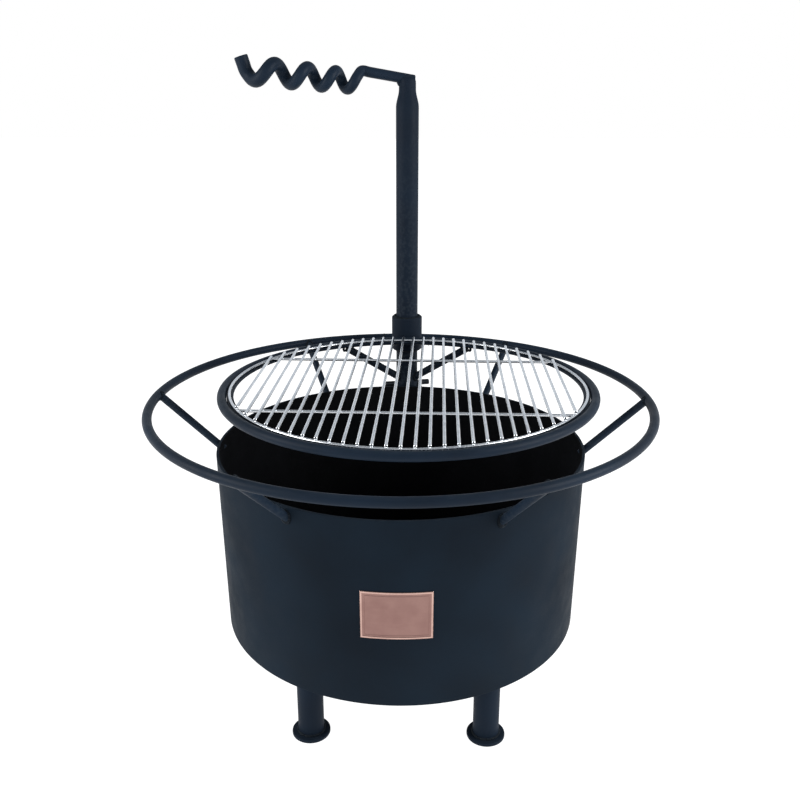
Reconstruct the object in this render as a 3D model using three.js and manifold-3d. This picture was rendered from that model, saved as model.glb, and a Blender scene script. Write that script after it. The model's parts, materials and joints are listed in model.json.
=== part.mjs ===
// A round steel fire pit with a swinging cooking grate, in millimetres, +Z up.
// The origin is on the floor under the drum's axis. The mast stands behind the drum, at +Y,
// and left and right are as seen from the front, which is -Y.

import * as THREE from 'three';
import { mergeVertices } from 'three/addons/utils/BufferGeometryUtils.js';
import Module from 'manifold-3d';

const wasm = await Module();
wasm.setup();

// ---------------------------------------------------------------- driving dimensions

const GAP = 0.3; // clearance left between pieces that touch

const DRUM_RADIUS = 384.5; // at the rim, a 30 inch drum
const DRUM_BASE_RADIUS = 378.5; // the drum narrows a little towards its base
const DRUM_HEIGHT = 381;
const DRUM_WALL = 6.5; // quarter inch plate
const BOTTOM_THICKNESS = 6;
const RIM_HEIGHT = 598; // floor to the drum's top edge
const DRUM_BASE = RIM_HEIGHT - DRUM_HEIGHT;

const LEG_RADIUS = 27.5;
const LEG_WALL = 4;
const LEG_REACH = 263; // drum's axis to a leg's axis
const LEG_TURN = 0.5; // degrees that the four legs stand round from the diagonals
const LEG_ANGLES = { front_left: 225, front_right: 315, rear_right: 45, rear_left: 135 };
const FOOT_RADIUS = 40.5;
const FOOT_THICKNESS = 8;

const GUARD_REACH = 512; // drum's axis to the guard tube's axis
const GUARD_TUBE_RADIUS = 9.5; // three quarter inch tube
const GUARD_RISE = 95.5; // guard tube's axis above the rim
const SPOKE_RADIUS = 8;
const SPOKE_FOOT_DROP = 27; // a spoke's axis below the rim where it meets the drum
const SPOKE_HEAD_RISE = 3; // a spoke's axis above the guard tube's axis where they meet
const SPOKE_ANGLES = {
  left: 180,
  front_left: 240,
  front_right: 300,
  right: 0,
  back_right: 60,
  back_left: 120,
};

const PLATE_WIDTH = 132;
const PLATE_HEIGHT = 96;
const PLATE_THICKNESS = 2;
const PLATE_DROP = 187; // rim to the nameplate's middle
const PLATE_TURN = 1; // degrees to the right of dead front
const PLATE_SEGMENTS = 12;

const MAST_Y = 430; // drum's axis to the mast's axis
const MAST_RADIUS = 27;
const MAST_WALL = 4;
const MAST_FOOT = 290; // the mast's lower end, inside the socket
const NECK_RADIUS = 20; // the swaged top of the mast
const NECK_START = RIM_HEIGHT + 672;
const NECK_END = RIM_HEIGHT + 712;
const HANDLE_HEIGHT = RIM_HEIGHT + 734.6; // the handle bar's axis over the mast

const SOCKET_TOP = RIM_HEIGHT - 18;
const SOCKET_LENGTH = 300;
const BUSHING_WALL = 2.7;
const BUSHING_LENGTH = 120;
const BUSHING_FLANGE_RADIUS = 39;
const BUSHING_FLANGE = 4.5; // thickness
const SOCKET_WALL = 4.7;
const STANDOFF_WIDTH = 40;
const STANDOFF_HEIGHT = 240;

const PIN_RADIUS = 7;
const PIN_LENGTH = 117;
const PIN_TURN = 12; // degrees, about the mast
const PIN_PITCH = 50; // between the mast's cross holes
const PIN_HOLES = 5;

const SWING_REST = 2.1; // degrees that the grate stands to the right of dead centre
const SWING_REACH = 430; // mast's axis to the grate's centre
const FRAME_REACH = 382; // grate's centre to the frame tube's axis
const FRAME_TUBE_RADIUS = 9.5;
const FRAME_RISE = 118.5; // frame tube's axis above the rim
const COLLAR_RADIUS = 38;
const COLLAR_FROM = RIM_HEIGHT + 88;
const COLLAR_TO = RIM_HEIGHT + 171;
const BRACE_RADIUS = 9;
const BRACE_SPREAD = 151; // sideways, from the swing's centre line to a brace's upper end
const BRACE_LOW = RIM_HEIGHT - 1.5; // height of a brace's axis at the mast's axis
const BRACE_HIGH = RIM_HEIGHT + 110;

const WIRE_RADIUS = 3;
const WIRE_REACH = 366; // grate's centre to the wire ring's axis
const WIRE_RISE = 124.6; // wire ring's axis above the rim
const ROD_COUNT = 27;
const ROD_PITCH = 24.6;
const CROSS_ROD_REACH = 181;
const GRATE_TURN = -2.5; // degrees that the loose grate lies turned in its frame
const SEAT_WIDTH = 14; // the flat ring inside the frame, on which the wire grate lies
const SEAT_THICKNESS = 4;

const HANDLE_HEADING = 82.7; // degrees from dead front towards the left
const BAR_RADIUS_AT_MAST = 11.6; // the bar is drawn down towards the mast
const BAR_RADIUS_AT_COIL = 12;
const BAR_RADIUS_AT_END = 16;
const ARM_LENGTH = 110.5;
const ARM_SLOPE = 0.162;
const ARM_TAIL = 17; // bar past the mast's axis
const COIL_TURNS = 3.75;
const COIL_DROP = 25; // the coil's axis below the arm's end
const COIL_RADIUS = 17.8; // to the bar's axis, where the coil starts
const COIL_SWELL = 1.04; // each turn's radius over the last one's
const COIL_SLOPE = 0.096;
const COIL_PITCH = 52.3; // at the first turn
const COIL_GROWTH = 1.149; // each turn's pitch over the last one's
const COIL_START_TURN = 0.12; // the bend from the arm into the coil takes this much of a turn
const COIL_PULL = 4; // how much further the last half turn is pulled open
const END_LENGTH = 32; // the straight free end
const END_ANGLE = 67; // degrees that it stands up from the coil's axis
const COIL_TURN_POINTS = 12; // path points for each turn
const HANDLE_STEPS = 100;
const HANDLE_SIDES = 10;

const TUBE_SIDES = 32;
const DRUM_SIDES = 72;
const RING_STEPS = 72;
const RING_SIDES = 10;
const BAR_SIDES = 12;
const PIN_SIDES = 16;
const ROD_SIDES = 8;

// ---------------------------------------------------------------- finishes

const paint = new THREE.MeshStandardMaterial({ color: 0x1f2932, roughness: 0.45, metalness: 0.2 });
const plated = new THREE.MeshStandardMaterial({ color: 0xd9dde0, roughness: 0.25, metalness: 1 });
const copper = new THREE.MeshStandardMaterial({ color: 0xb0817a, roughness: 0.4, metalness: 0.9 });
const steel = new THREE.MeshStandardMaterial({ color: 0x3a3d42, roughness: 0.5, metalness: 0.9 });

// ---------------------------------------------------------------- shape helpers

const radians = THREE.MathUtils.degToRad;

// A geometry with position only, its shared vertices merged.
function welded(geometry) {
  const bare = geometry.clone();
  bare.deleteAttribute('normal');
  bare.deleteAttribute('uv');
  return mergeVertices(bare, 1e-4);
}

function toSolid(geometry) {
  const bare = welded(geometry);
  const vertProperties = new Float32Array(bare.attributes.position.array);
  const triVerts = new Uint32Array(bare.index.array);
  return new wasm.Manifold(new wasm.Mesh({ numProp: 3, vertProperties, triVerts }));
}

function toGeometry(solid) {
  const mesh = solid.getMesh();
  const geometry = new THREE.BufferGeometry();
  geometry.setAttribute('position', new THREE.BufferAttribute(mesh.vertProperties, 3));
  geometry.setIndex(new THREE.BufferAttribute(mesh.triVerts, 1));
  return geometry;
}

// One geometry with others cut away from it.
function cut(geometry, ...tools) {
  const left = tools.reduce((solid, tool) => solid.subtract(toSolid(tool)), toSolid(geometry));
  return toGeometry(left);
}

// A solid of revolution about Z: [radius, height] points, counter-clockwise.
function turned(points, sides) {
  const outline = points.map(([radius, height]) => new THREE.Vector2(radius, height));
  return new THREE.LatheGeometry(outline, sides).rotateX(Math.PI / 2);
}

function pipe(outer, wall, from, to, sides = TUBE_SIDES) {
  const inner = outer - wall;
  return turned([[inner, from], [outer, from], [outer, to], [inner, to], [inner, from]], sides);
}

function disc(radius, from, to, sides = TUBE_SIDES) {
  return turned([[0, from], [radius, from], [radius, to], [0, to]], sides);
}

// A ring of round bar, lying flat at height z.
function hoop(reach, barRadius, z, steps = RING_STEPS, sides = RING_SIDES) {
  return new THREE.TorusGeometry(reach, barRadius, sides, steps).translate(0, 0, z);
}

// A round bar between two points.
function bar(from, to, radius, sides = BAR_SIDES) {
  const axis = new THREE.Vector3().subVectors(to, from);
  const upright = new THREE.Vector3(0, 1, 0);
  const lift = new THREE.Quaternion().setFromUnitVectors(upright, axis.clone().normalize());
  return new THREE.CylinderGeometry(radius, radius, axis.length(), sides)
    .applyQuaternion(lift)
    .translate(...from.clone().add(to).multiplyScalar(0.5).toArray());
}

function piece(name, geometry, material, group) {
  const mesh = new THREE.Mesh(geometry, material);
  mesh.name = name;
  group.add(mesh);
  return mesh;
}

// ---------------------------------------------------------------- drum, legs and feet

const firePit = new THREE.Group();

const drumShell = turned([
  [DRUM_BASE_RADIUS - DRUM_WALL, DRUM_BASE],
  [DRUM_BASE_RADIUS, DRUM_BASE],
  [DRUM_RADIUS, RIM_HEIGHT],
  [DRUM_RADIUS - DRUM_WALL, RIM_HEIGHT],
  [DRUM_BASE_RADIUS - DRUM_WALL, DRUM_BASE],
], DRUM_SIDES);
piece('drum_shell', drumShell, paint, firePit);
const bottomRadius = DRUM_BASE_RADIUS - DRUM_WALL - 2 * GAP; // clear of the shell's flats as well
const bottom = disc(bottomRadius, DRUM_BASE, DRUM_BASE + BOTTOM_THICKNESS, DRUM_SIDES);
piece('drum_bottom_plate', bottom, paint, firePit);

for (const [place, angle] of Object.entries(LEG_ANGLES)) {
  const x = LEG_REACH * Math.cos(radians(angle + LEG_TURN));
  const y = LEG_REACH * Math.sin(radians(angle + LEG_TURN));
  const leg = pipe(LEG_RADIUS, LEG_WALL, FOOT_THICKNESS + GAP, DRUM_BASE - GAP);
  piece(`leg_${place}`, leg, paint, firePit).position.set(x, y, 0);
  const foot = disc(FOOT_RADIUS, 0, FOOT_THICKNESS);
  piece(`foot_plate_${place}`, foot, paint, firePit).position.set(x, y, 0);
}

// ---------------------------------------------------------------- guard ring and its spokes

const guardHeight = RIM_HEIGHT + GUARD_RISE;
piece('guard_ring', hoop(GUARD_REACH, GUARD_TUBE_RADIUS, guardHeight), paint, firePit);

// The drum's outer radius at a height.
function drumRadiusAt(z) {
  return DRUM_BASE_RADIUS + (DRUM_RADIUS - DRUM_BASE_RADIUS) * (z - DRUM_BASE) / DRUM_HEIGHT;
}

const drumCutter = turned([
  [0, DRUM_BASE],
  [DRUM_BASE_RADIUS + GAP, DRUM_BASE],
  [DRUM_RADIUS + GAP, RIM_HEIGHT],
  [0, RIM_HEIGHT],
], DRUM_SIDES);
const guardCutter = hoop(GUARD_REACH, GUARD_TUBE_RADIUS + GAP, guardHeight);
for (const [place, angle] of Object.entries(SPOKE_ANGLES)) {
  const direction = new THREE.Vector3(Math.cos(radians(angle)), Math.sin(radians(angle)), 0);
  const foot = direction.clone()
    .multiplyScalar(DRUM_RADIUS - SPOKE_RADIUS)
    .setZ(RIM_HEIGHT - SPOKE_FOOT_DROP);
  const head = direction.clone().multiplyScalar(GUARD_REACH).setZ(guardHeight + SPOKE_HEAD_RISE);
  const spoke = cut(bar(foot, head, SPOKE_RADIUS), drumCutter, guardCutter);
  piece(`guard_spoke_${place}`, spoke, paint, firePit);
}

// ---------------------------------------------------------------- nameplate

// The plate is bent to the drum and leans with its side.
function nameplateGeometry() {
  const plateMiddle = RIM_HEIGHT - PLATE_DROP;
  const inner = drumRadiusAt(plateMiddle) + GAP;
  const outer = inner + PLATE_THICKNESS;
  const middle = radians(270 + PLATE_TURN);
  const half = PLATE_WIDTH / 2 / outer;
  const outline = new THREE.Shape();
  outline.absarc(0, 0, outer, middle - half, middle + half, false);
  outline.absarc(0, 0, inner, middle + half, middle - half, true);
  outline.closePath();
  const options = { depth: PLATE_HEIGHT, bevelEnabled: false, curveSegments: PLATE_SEGMENTS };
  const plate = new THREE.ExtrudeGeometry(outline, options)
    .translate(0, 0, plateMiddle - PLATE_HEIGHT / 2);
  const position = plate.attributes.position;
  for (let index = 0; index < position.count; index += 1) {
    const lean = drumRadiusAt(position.getZ(index)) / drumRadiusAt(plateMiddle);
    position.setX(index, position.getX(index) * lean);
    position.setY(index, position.getY(index) * lean);
  }
  return plate;
}

piece('nameplate', nameplateGeometry(), copper, firePit);

// ---------------------------------------------------------------- mast socket on the drum's back

const bushingOuter = MAST_RADIUS + GAP + BUSHING_WALL;
const socketOuter = bushingOuter + GAP + SOCKET_WALL;
const socketBase = SOCKET_TOP - SOCKET_LENGTH;
const socket = pipe(socketOuter, SOCKET_WALL, socketBase, SOCKET_TOP);
piece('socket_tube', socket, paint, firePit).position.y = MAST_Y;

const standoffDepth = MAST_Y - DRUM_BASE_RADIUS;
const standoffMiddle = SOCKET_TOP - SOCKET_LENGTH / 2;
const standoff = cut(
  new THREE.BoxGeometry(STANDOFF_WIDTH, standoffDepth, STANDOFF_HEIGHT)
    .translate(0, MAST_Y - standoffDepth / 2, standoffMiddle),
  drumCutter,
  disc(socketOuter + GAP, socketBase, SOCKET_TOP).translate(0, MAST_Y, 0),
);
piece('socket_standoff', standoff, paint, firePit);

// ---------------------------------------------------------------- swinging group, about the mast

const swing = new THREE.Group();
swing.position.y = MAST_Y;
swing.rotation.z = radians(SWING_REST);
firePit.add(swing);

const flangeTop = SOCKET_TOP + GAP + BUSHING_FLANGE;
const bushing = turned([
  [MAST_RADIUS + GAP, SOCKET_TOP - BUSHING_LENGTH],
  [bushingOuter, SOCKET_TOP - BUSHING_LENGTH],
  [bushingOuter, SOCKET_TOP + GAP],
  [BUSHING_FLANGE_RADIUS, SOCKET_TOP + GAP],
  [BUSHING_FLANGE_RADIUS, flangeTop],
  [MAST_RADIUS + GAP, flangeTop],
  [MAST_RADIUS + GAP, SOCKET_TOP - BUSHING_LENGTH],
], TUBE_SIDES);
piece('mast_bushing', bushing, steel, swing);

// The mast is a tube, swaged to a closed neck at the top, with a row of cross holes for the pin.
const pinHeight = flangeTop + GAP + PIN_RADIUS;
const pinDirection = new THREE.Vector3(Math.cos(radians(PIN_TURN)), Math.sin(radians(PIN_TURN)), 0);
function crossBar(radius, length, z) {
  const half = pinDirection.clone().multiplyScalar(length / 2).setZ(z);
  const other = half.clone().multiplyScalar(-1).setZ(z);
  return bar(other, half, radius, PIN_SIDES);
}

// The neck ends clear of the sloping handle bar.
const neckTop = HANDLE_HEIGHT - BAR_RADIUS_AT_COIL - NECK_RADIUS * ARM_SLOPE - GAP;
const mastInner = MAST_RADIUS - MAST_WALL;
const neckInner = NECK_RADIUS - MAST_WALL;
const mastTube = turned([
  [mastInner, MAST_FOOT],
  [MAST_RADIUS, MAST_FOOT],
  [MAST_RADIUS, NECK_START],
  [(MAST_RADIUS + NECK_RADIUS) / 2, (NECK_START + NECK_END) / 2],
  [NECK_RADIUS, NECK_END],
  [NECK_RADIUS, neckTop],
  [0, neckTop],
  [0, neckTop - MAST_WALL],
  [neckInner, neckTop - MAST_WALL],
  [neckInner, NECK_END],
  [mastInner, NECK_START],
  [mastInner, MAST_FOOT],
], TUBE_SIDES);
const pinHoles = Array.from({ length: PIN_HOLES }, (_, hole) =>
  crossBar(PIN_RADIUS + GAP, 3 * MAST_RADIUS, pinHeight - hole * PIN_PITCH));
piece('mast_tube', cut(mastTube, ...pinHoles), paint, swing);
piece('height_pin', crossBar(PIN_RADIUS, PIN_LENGTH, pinHeight), steel, swing);

const collarWall = COLLAR_RADIUS - MAST_RADIUS - GAP;
piece('mast_collar', pipe(COLLAR_RADIUS, collarWall, COLLAR_FROM, COLLAR_TO), paint, swing);

// ---------------------------------------------------------------- grate frame and braces

const frameHeight = RIM_HEIGHT + FRAME_RISE;
const frameRing = hoop(FRAME_REACH, FRAME_TUBE_RADIUS, frameHeight).translate(0, -SWING_REACH, 0);
piece('grate_frame_ring', frameRing, paint, swing);
const frameCutter = hoop(FRAME_REACH, FRAME_TUBE_RADIUS + GAP, frameHeight).translate(0, -SWING_REACH, 0);

const mastCutter = disc(MAST_RADIUS + GAP, MAST_FOOT, COLLAR_TO);
const braceY = Math.sqrt(FRAME_REACH ** 2 - BRACE_SPREAD ** 2) - SWING_REACH;
for (const [place, side] of [['left', -1], ['right', 1]]) {
  const low = new THREE.Vector3(0, 0, BRACE_LOW);
  const high = new THREE.Vector3(side * BRACE_SPREAD, braceY, BRACE_HIGH);
  piece(`brace_${place}`, cut(bar(low, high, BRACE_RADIUS), mastCutter, frameCutter), paint, swing);
}

const wireHeight = RIM_HEIGHT + WIRE_RISE;
const seatOuter = FRAME_REACH - FRAME_TUBE_RADIUS - GAP;
const seatTop = wireHeight - WIRE_RADIUS - GAP;
const seat = pipe(seatOuter, SEAT_WIDTH, seatTop - SEAT_THICKNESS, seatTop, RING_STEPS);
piece('grate_seat_ring', seat.translate(0, -SWING_REACH, 0), paint, swing);

// ---------------------------------------------------------------- coiled handle

// The bar runs over the mast and straight out along the arm, winds into a left-handed coil that
// opens out, and ends straight.
class HandleCurve extends THREE.Curve {
  constructor() {
    super();
    const heading = radians(HANDLE_HEADING);
    const out = new THREE.Vector3(-Math.sin(heading), -Math.cos(heading), 0);
    const arm = out.clone().setZ(ARM_SLOPE).normalize();
    const coil = out.clone().setZ(COIL_SLOPE).normalize();
    const side = coil.clone().cross(new THREE.Vector3(0, 0, 1)).normalize();
    const up = side.clone().cross(coil);
    const mastTop = new THREE.Vector3(0, 0, HANDLE_HEIGHT);
    const coilAxis = mastTop.clone().addScaledVector(arm, ARM_LENGTH).addScaledVector(up, -COIL_DROP);
    const points = [-ARM_TAIL, 0, ARM_LENGTH * 0.4, ARM_LENGTH * 0.8, ARM_LENGTH * 0.97]
      .map((distance) => mastTop.clone().addScaledVector(arm, distance));
    const steps = Math.round((COIL_TURNS - COIL_START_TURN) * COIL_TURN_POINTS);
    for (let step = 0; step <= steps; step += 1) {
      const turn = COIL_START_TURN + (COIL_TURNS - COIL_START_TURN) * step / steps;
      const phase = 2 * Math.PI * turn;
      const radius = COIL_RADIUS * COIL_SWELL ** turn;
      const pull = 2 * COIL_PULL * Math.max(0, turn - COIL_TURNS + 0.5);
      const along = COIL_PITCH * (COIL_GROWTH ** turn - 1) / Math.log(COIL_GROWTH) + pull;
      points.push(coilAxis.clone()
        .addScaledVector(coil, along)
        .addScaledVector(up, radius * Math.cos(phase))
        .addScaledVector(side, -radius * Math.sin(phase)));
    }
    const coilEnd = points[points.length - 1];
    for (const distance of [END_LENGTH / 2, END_LENGTH]) {
      points.push(coilEnd.clone()
        .addScaledVector(coil, distance * Math.cos(radians(END_ANGLE)))
        .addScaledVector(up, distance * Math.sin(radians(END_ANGLE))));
    }
    this.path = new THREE.CatmullRomCurve3(points, false, 'centripetal');
  }

  getPoint(t, target = new THREE.Vector3()) {
    return this.path.getPoint(t, target);
  }
}

// A bar of constant section is swept along the path, then each section is scaled to its radius.
function handleGeometry() {
  const curve = new HandleCurve();
  const section = new THREE.Shape();
  section.absarc(0, 0, BAR_RADIUS_AT_MAST, 0, 2 * Math.PI, false);
  const options = { steps: HANDLE_STEPS, extrudePath: curve, curveSegments: HANDLE_SIDES / 2 };
  const geometry = new THREE.ExtrudeGeometry(section, options);
  const centres = curve.getSpacedPoints(HANDLE_STEPS);
  const coilStart = (ARM_TAIL + ARM_LENGTH) / curve.getLength();
  const position = geometry.attributes.position;
  const vertex = new THREE.Vector3();
  for (let index = 0; index < position.count; index += 1) {
    vertex.fromBufferAttribute(position, index);
    const distances = centres.map((centre) => centre.distanceToSquared(vertex));
    const nearest = distances.indexOf(Math.min(...distances));
    const share = nearest / HANDLE_STEPS;
    const radius = share < coilStart
      ? THREE.MathUtils.mapLinear(share, 0, coilStart, BAR_RADIUS_AT_MAST, BAR_RADIUS_AT_COIL)
      : THREE.MathUtils.mapLinear(share, coilStart, 1, BAR_RADIUS_AT_COIL, BAR_RADIUS_AT_END);
    vertex.sub(centres[nearest]).multiplyScalar(radius / BAR_RADIUS_AT_MAST).add(centres[nearest]);
    position.setXYZ(index, vertex.x, vertex.y, vertex.z);
  }
  return geometry;
}

piece('handle_bar', handleGeometry(), paint, swing);

// ---------------------------------------------------------------- loose wire grate

const grate = new THREE.Group();
grate.position.set(0, -SWING_REACH, 0);
grate.rotation.z = radians(GRATE_TURN);
swing.add(grate);

piece('grate_wire_ring', hoop(WIRE_REACH, WIRE_RADIUS, wireHeight, RING_STEPS, ROD_SIDES), plated, grate);

const ringInside = WIRE_REACH - WIRE_RADIUS - 2 * GAP; // clear of the ring's flats as well
const crossHalf = Math.sqrt(ringInside ** 2 - (CROSS_ROD_REACH + WIRE_RADIUS) ** 2);
for (const [place, side] of [['front', -1], ['back', 1]]) {
  const left = new THREE.Vector3(-crossHalf, side * CROSS_ROD_REACH, wireHeight);
  const right = new THREE.Vector3(crossHalf, side * CROSS_ROD_REACH, wireHeight);
  piece(`grate_cross_rod_${place}`, bar(left, right, WIRE_RADIUS, ROD_SIDES), plated, grate);
}

const rodHeight = wireHeight + 2 * WIRE_RADIUS + GAP;
for (let index = 0; index < ROD_COUNT; index += 1) {
  const x = (index - (ROD_COUNT - 1) / 2) * ROD_PITCH;
  const half = Math.sqrt((WIRE_REACH + WIRE_RADIUS) ** 2 - (Math.abs(x) + WIRE_RADIUS) ** 2);
  const front = new THREE.Vector3(x, -half, rodHeight);
  const back = new THREE.Vector3(x, half, rodHeight);
  const name = `grate_rod_${String(index + 1).padStart(2, '0')}`;
  piece(name, bar(front, back, WIRE_RADIUS, ROD_SIDES), plated, grate);
}

export default firePit;
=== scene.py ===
# %% [markdown]
# # A steel fire pit with a swinging cooking grate
#
# The real thing is a rolled steel drum on four pipe legs, with a tube hoop around it as a guard
# and a mast behind it. A round wire grate hangs off the mast, so it swings over the fire or away
# from it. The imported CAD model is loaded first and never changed: it fixes where everything is.
# Each finer piece below takes the place of its CAD node and rides on the same body.

# %% Load the frame
import json
import math

import bmesh
import bpy
from mathutils import Matrix, Vector, noise


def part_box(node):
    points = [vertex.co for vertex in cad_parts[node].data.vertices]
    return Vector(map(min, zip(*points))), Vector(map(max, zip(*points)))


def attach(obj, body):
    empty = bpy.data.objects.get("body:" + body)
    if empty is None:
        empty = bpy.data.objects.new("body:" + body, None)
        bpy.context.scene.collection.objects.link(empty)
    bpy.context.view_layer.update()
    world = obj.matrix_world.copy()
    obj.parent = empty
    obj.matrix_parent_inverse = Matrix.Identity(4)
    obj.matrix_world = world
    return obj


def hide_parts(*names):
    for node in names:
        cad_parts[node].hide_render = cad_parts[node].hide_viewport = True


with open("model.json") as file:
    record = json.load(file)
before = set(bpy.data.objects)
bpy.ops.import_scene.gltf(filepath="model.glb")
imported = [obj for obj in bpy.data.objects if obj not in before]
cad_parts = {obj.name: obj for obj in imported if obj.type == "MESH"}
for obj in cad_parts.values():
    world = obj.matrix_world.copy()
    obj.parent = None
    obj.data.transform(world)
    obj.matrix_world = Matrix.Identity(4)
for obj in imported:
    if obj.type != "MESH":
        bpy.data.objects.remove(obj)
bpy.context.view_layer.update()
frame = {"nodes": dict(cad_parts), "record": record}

# %% [markdown]
# ## Sizes, read off the frame
#
# A maker would measure the drum, the hoop and the mast before cutting anything to fit them. The
# same is done here: the large sizes come from the boxes and corners of the CAD nodes, so a piece
# can't drift away from the model. Only small sizes, such as a bar's thickness, are written down.

# %% Measure the drum, the guard ring and the mast
MM = 0.001
GAP = 0.3 * MM  # left between pieces that are welded or that slide on each other


def middle(node):
    low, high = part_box(node)
    return (low + high) / 2


def corners(node):
    return [vertex.co.copy() for vertex in frame["nodes"][node].data.vertices]


def widest(node, height):
    near = [corner for corner in corners(node) if abs(corner.z - height) < MM]
    return max(math.hypot(corner.x, corner.y) for corner in near)


drum_low, drum_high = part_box("drum_shell")
rim = drum_high.z
drum_base = drum_low.z
rim_radius = widest("drum_shell", rim)
base_radius = widest("drum_shell", drum_base)
plate_thickness = 6.5 * MM

guard_tube = 9.5 * MM
guard_low, guard_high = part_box("guard_ring")
guard_reach = (guard_high.x - guard_low.x) / 2 - guard_tube
guard_height = (guard_low.z + guard_high.z) / 2

mast_low, mast_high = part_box("mast_tube")
mast = Vector((middle("mast_tube").x, middle("mast_tube").y, 0))
mast_radius = (mast_high.x - mast_low.x) / 2
grate_middle = middle("grate_frame_ring")
forward = (Vector((grate_middle.x, grate_middle.y, 0)) - mast).normalized()
sideways = Vector((-forward.y, forward.x, 0))
print(f"drum {2 * rim_radius / MM:.0f} mm across the rim, {2 * base_radius / MM:.0f} at the base")
print(f"guard ring {2 * guard_reach / MM:.0f} mm, mast {2 * mast_radius / MM:.0f} mm")

# %% [markdown]
# ## The camera and the light
#
# Paint this dark shows its shape mostly by what it mirrors, so it is lit from large soft boxes at
# both sides. The front is left in the floor's own glow, so the drum is darkest in the middle and
# turns lighter towards its sides. The world is white where it is looked at. As light it is a
# bright band round the horizon, as a lit backdrop is, under a dimmer ceiling; the wires of the
# grate mirror the band.

# %% Place the camera
camera_data = bpy.data.cameras.new("studio_camera")
camera_data.lens = 39.13
camera_data.sensor_width = 36
camera_data.shift_x = -0.0009
camera = bpy.data.objects.new("studio_camera", camera_data)
camera.location = (0.0633, -1.7252, 1.2644)
camera.rotation_euler = (math.radians(71.547), 0, math.radians(2.1))
bpy.context.collection.objects.link(camera)
bpy.context.scene.camera = camera
bpy.context.scene.view_settings.view_transform = "Standard"
print("camera at", tuple(round(value, 3) for value in camera.location))


# %% Turn sRGB hex values to linear colour, and add nodes
def linear(hex_value):
    channels = [int(hex_value[start:start + 2], 16) / 255 for start in (1, 3, 5)]
    knee = 0.04045
    curve = [c / 12.92 if c <= knee else ((c + 0.055) / 1.055) ** 2.4 for c in channels]
    return (*curve, 1)


def add(tree, kind, settings, links=()):
    """Add one node. Lower-case settings are its own, and the others are its sockets.

    A link comes from a socket, or from a node, which means that node's first output.
    """
    made = tree.nodes.new(kind)
    for key, value in settings.items():
        if isinstance(key, str) and key.islower():
            setattr(made, key, value)
        else:
            made.inputs[key].default_value = value
    for socket, source in links:
        tree.links.new(getattr(source, "outputs", [source])[0], made.inputs[socket])
    return made


print("white is", linear("#ffffff"))

# %% Light the world
world = bpy.data.worlds.new("studio")
world.use_nodes = True
bpy.context.scene.world = world
sky = world.node_tree
sky.nodes.clear()
path = add(sky, "ShaderNodeLightPath", {})
seen = add(sky, "ShaderNodeBackground", {"Color": linear("#ffffff"), "Strength": 1.0})
toward = add(sky, "ShaderNodeTexCoord", {}).outputs["Generated"]
height = add(sky, "ShaderNodeSeparateXYZ", {}, [("Vector", toward)]).outputs["Z"]
band = {"From Min": 0.25, "From Max": 0.6, "To Min": 0.85, "To Max": 0.35}
glow = add(sky, "ShaderNodeMapRange", band, [("Value", height)]).outputs["Result"]
lit = add(sky, "ShaderNodeBackground", {"Color": linear("#e8eef5")}, [("Strength", glow)])
looked_at = path.outputs["Is Camera Ray"]
both = add(sky, "ShaderNodeMixShader", {}, [(0, looked_at), (1, lit), (2, seen)])
add(sky, "ShaderNodeOutputWorld", {}, [("Surface", both)])
print("world set")


# %% Hang the soft boxes
def soft_box(name, place, aim, size, power):
    data = bpy.data.lights.new(name, "AREA")
    data.shape = "RECTANGLE"
    data.size, data.size_y = size
    data.energy = power
    box = bpy.data.objects.new(name, data)
    box.location = place
    box.rotation_euler = (Vector(aim) - Vector(place)).to_track_quat("-Z", "Y").to_euler()
    bpy.context.collection.objects.link(box)


RIM_CENTRE = (0, 0, 0.6)
soft_box("left_soft_box", (-3.4, -1.1, 1.9), RIM_CENTRE, (2.4, 2.6), 110)
soft_box("right_soft_box", (3.4, -0.9, 1.9), RIM_CENTRE, (2.4, 2.6), 135)

# %% [markdown]
# ## The floor
#
# The pit stands on a plain pale sweep, which glows a little, as a lit acrylic table does, so that
# shadows on it stay faint. It is only scenery.

# %% Lay the floor
FLOOR_HALF = 40  # metres from the middle to an edge, so that no edge shows
floor_shape = bmesh.new()
bmesh.ops.create_grid(floor_shape, x_segments=1, y_segments=1, size=FLOOR_HALF)
floor_mesh = bpy.data.meshes.new("floor")
floor_shape.to_mesh(floor_mesh)
floor_shape.free()
floor = bpy.data.objects.new("floor", floor_mesh)
floor.location.z = -0.5 * MM  # just under the feet
bpy.context.collection.objects.link(floor)
pale = bpy.data.materials.new("pale_sweep")
pale.use_nodes = True
pale_shader = pale.node_tree.nodes["Principled BSDF"]
pale_shader.inputs["Base Color"].default_value = linear("#8c8c8c")
pale_shader.inputs["Roughness"].default_value = 0.9
pale_shader.inputs["Emission Color"].default_value = linear("#ffffff")
pale_shader.inputs["Emission Strength"].default_value = 1.0
floor_mesh.materials.append(pale)
print("floor laid")

# %% [markdown]
# ## Heat-resisting enamel
#
# Fire pits are sprayed with a heat-resisting silicone enamel, nearly black with some blue in it,
# and stoved. The coat is not flat: it dries to a fine orange peel, its gloss varies, dust settles
# on what faces up and the paint thins over sharp edges. Each of those is a noise, a measure of the
# surface or both together, mixed into colour, roughness or bump. It could be one flat colour with
# one roughness value, but then every piece would look like plastic.

# %% Define the pattern helpers
def per_metre(millimetres):
    """A noise scale that makes one feature this many millimetres across."""
    return 1000 / millimetres


def new_material(name):
    material = bpy.data.materials.new(name)
    material.use_nodes = True
    material.node_tree.nodes.clear()
    return material, material.node_tree


# most of a noise lies in 0.3 to 0.7, so that much is stretched to the range wanted
NOISE_SPAN = {"From Min": 0.3, "From Max": 0.7}
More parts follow.
